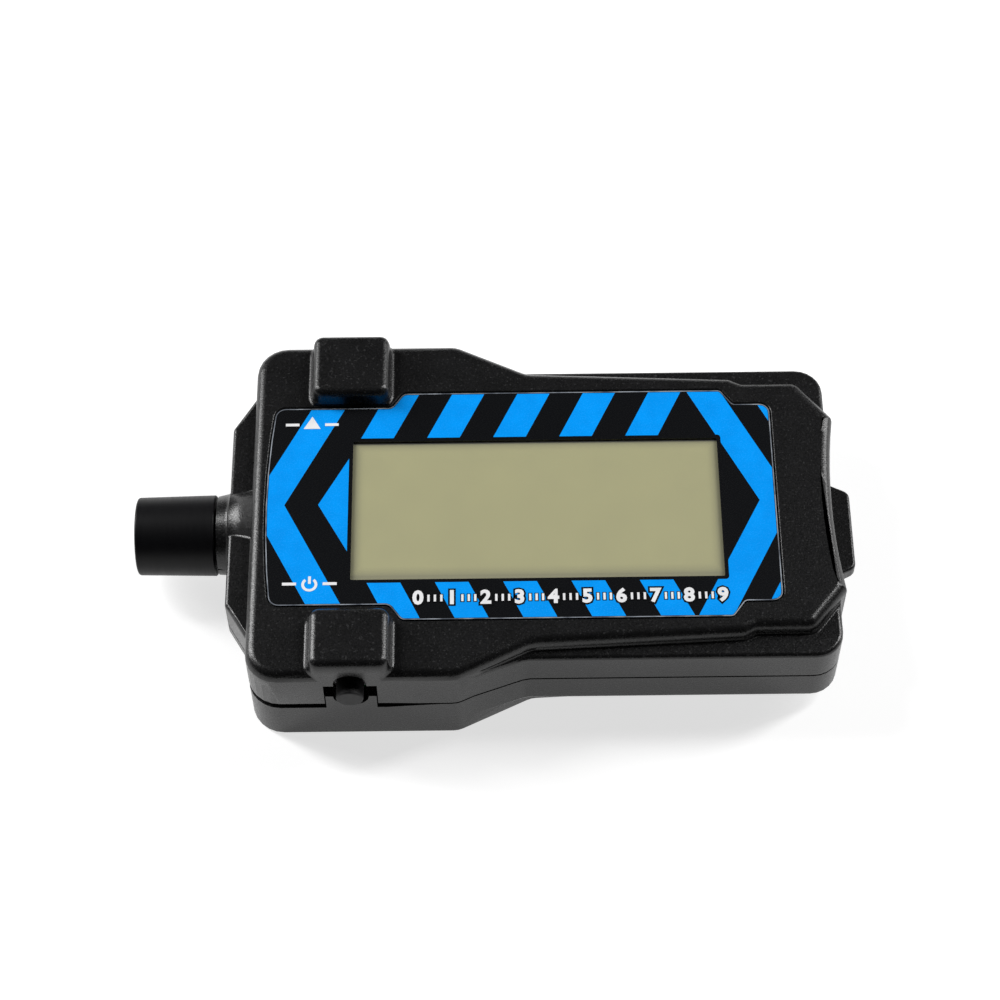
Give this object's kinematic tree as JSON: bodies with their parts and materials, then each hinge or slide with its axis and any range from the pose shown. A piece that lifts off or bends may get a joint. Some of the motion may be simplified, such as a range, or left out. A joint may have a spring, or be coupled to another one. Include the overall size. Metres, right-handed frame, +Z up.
{
  "type": "digital tachometer",
  "caption": "Pocket optical tachometer with a round sensor hood, a wide display under a printed label, two side push buttons and a sliding battery door.",
  "frame": {"origin": "middle of the object's box, on the surface that it lies on", "axes": "+X runs along the length, away from the sensor hood; +Y runs across, away from the power button; +Z points up, out of the display"},
  "size_m": [0.0946, 0.054, 0.0182],
  "materials": {
    "case_plastic": "fine grained matt",
    "hood_plastic": "satin",
    "button_plastic": "satin",
    "label_film": "printed film with blue bands",
    "window_acrylic": "clear",
    "display_glass": "grey green, satin",
    "reflector_film": "grey green, matt",
    "frame_plastic": "smooth white",
    "strip_silicone": "matt",
    "board_laminate": "green solder mask",
    "chip_resin": "moulded black",
    "bright_steel": "plated",
    "tinned_wire": "tinned",
    "spring_brass": "plated spring strip",
    "sensor_resin": "smoked, polished",
    "capacitor_sleeve": "shrink sleeve"
  },
  "bodies": {
    "case": {"upper_shell": "case_plastic", "lower_shell": "case_plastic", "sensor_hood": "hood_plastic", "sensor_lens": "sensor_resin", "photo_sensor": "sensor_resin", "sensor_lead_rear": "tinned_wire", "sensor_lead_front": "tinned_wire", "label_overlay": "label_film", "display_window": "window_acrylic", "lcd_front_glass": "display_glass", "lcd_rear_glass": "display_glass", "lcd_reflector": "reflector_film", "lcd_frame": "frame_plastic", "contact_strip_rear": "strip_silicone", "contact_strip_front": "strip_silicone", "main_board": "board_laminate", "power_switch_body": "chip_resin", "set_switch_body": "chip_resin", "power_switch_cover": "bright_steel", "set_switch_cover": "bright_steel", "processor": "chip_resin", "amplifier": "chip_resin", "crystal": "bright_steel", "capacitor": "capacitor_sleeve", "battery_holder": "chip_resin", "coin_cell": "bright_steel", "cell_spring": "spring_brass", "cell_clip": "spring_brass", "case_screw_1": "bright_steel", "case_screw_2": "bright_steel", "case_screw_3": "bright_steel", "case_screw_4": "bright_steel", "board_screw_1": "bright_steel", "board_screw_2": "bright_steel", "board_screw_3": "bright_steel"},
    "power_key": {"power_button": "button_plastic"},
    "set_key": {"set_button": "button_plastic"},
    "door": {"battery_door": "case_plastic"}
  },
  "joints": [
    {"name": "power_button_press", "type": "slide", "parent": "case", "child": "power_key", "axis": [0, 1, 0], "range_m": [0, 0.0003], "stiffness_N_per_m": 1200},
    {"name": "set_button_press", "type": "slide", "parent": "case", "child": "set_key", "axis": [0, -1, 0], "range_m": [0, 0.0003], "stiffness_N_per_m": 1200},
    {"name": "battery_door_slide", "type": "slide", "parent": "case", "child": "door", "axis": [-1, 0, 0], "range_m": [0, 0.0265]}
  ]
}
